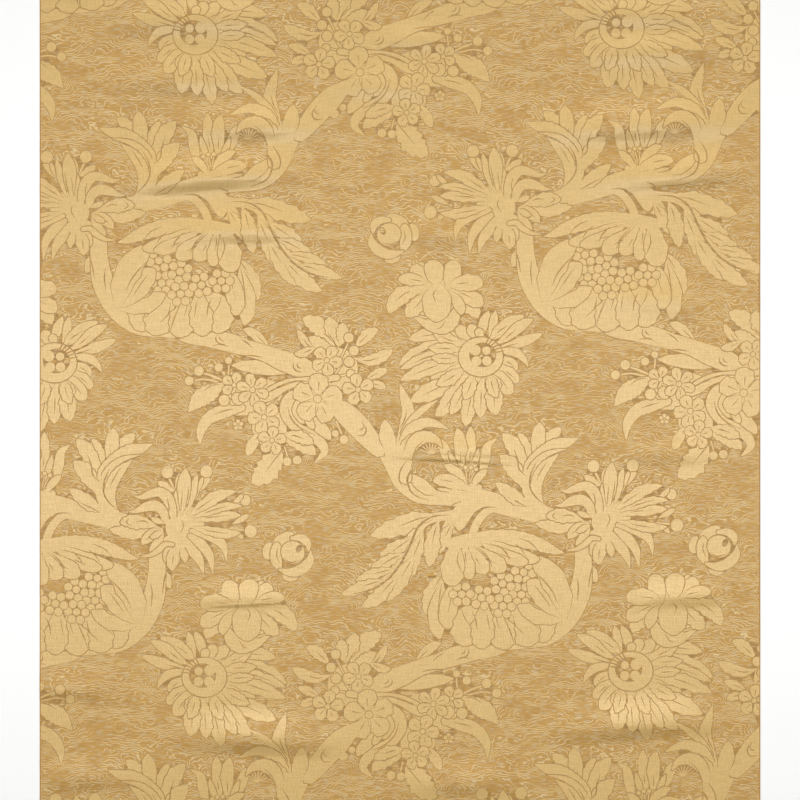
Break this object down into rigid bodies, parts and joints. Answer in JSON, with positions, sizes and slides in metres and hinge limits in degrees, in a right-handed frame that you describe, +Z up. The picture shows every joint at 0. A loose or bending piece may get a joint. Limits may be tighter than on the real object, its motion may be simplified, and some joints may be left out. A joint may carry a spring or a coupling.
{
  "type": "damask fabric",
  "caption": "Cut length of gold floral damask lying face up with low soft folds across it, its satin flowers and leaves on a ground with a watered look.",
  "frame": {"origin": "on the surface that the cloth lies on, under the middle of its outline", "axes": "+Z up out of the cloth's face, +Y along its length towards the far end, +X across its width"},
  "size_m": [0.5798, 0.6801, 0.0043],
  "materials": {
    "damask": "woven silk damask, glossy satin figure on a duller ground"
  },
  "bodies": {
    "root": {"cloth": "damask"}
  },
  "joints": []
}
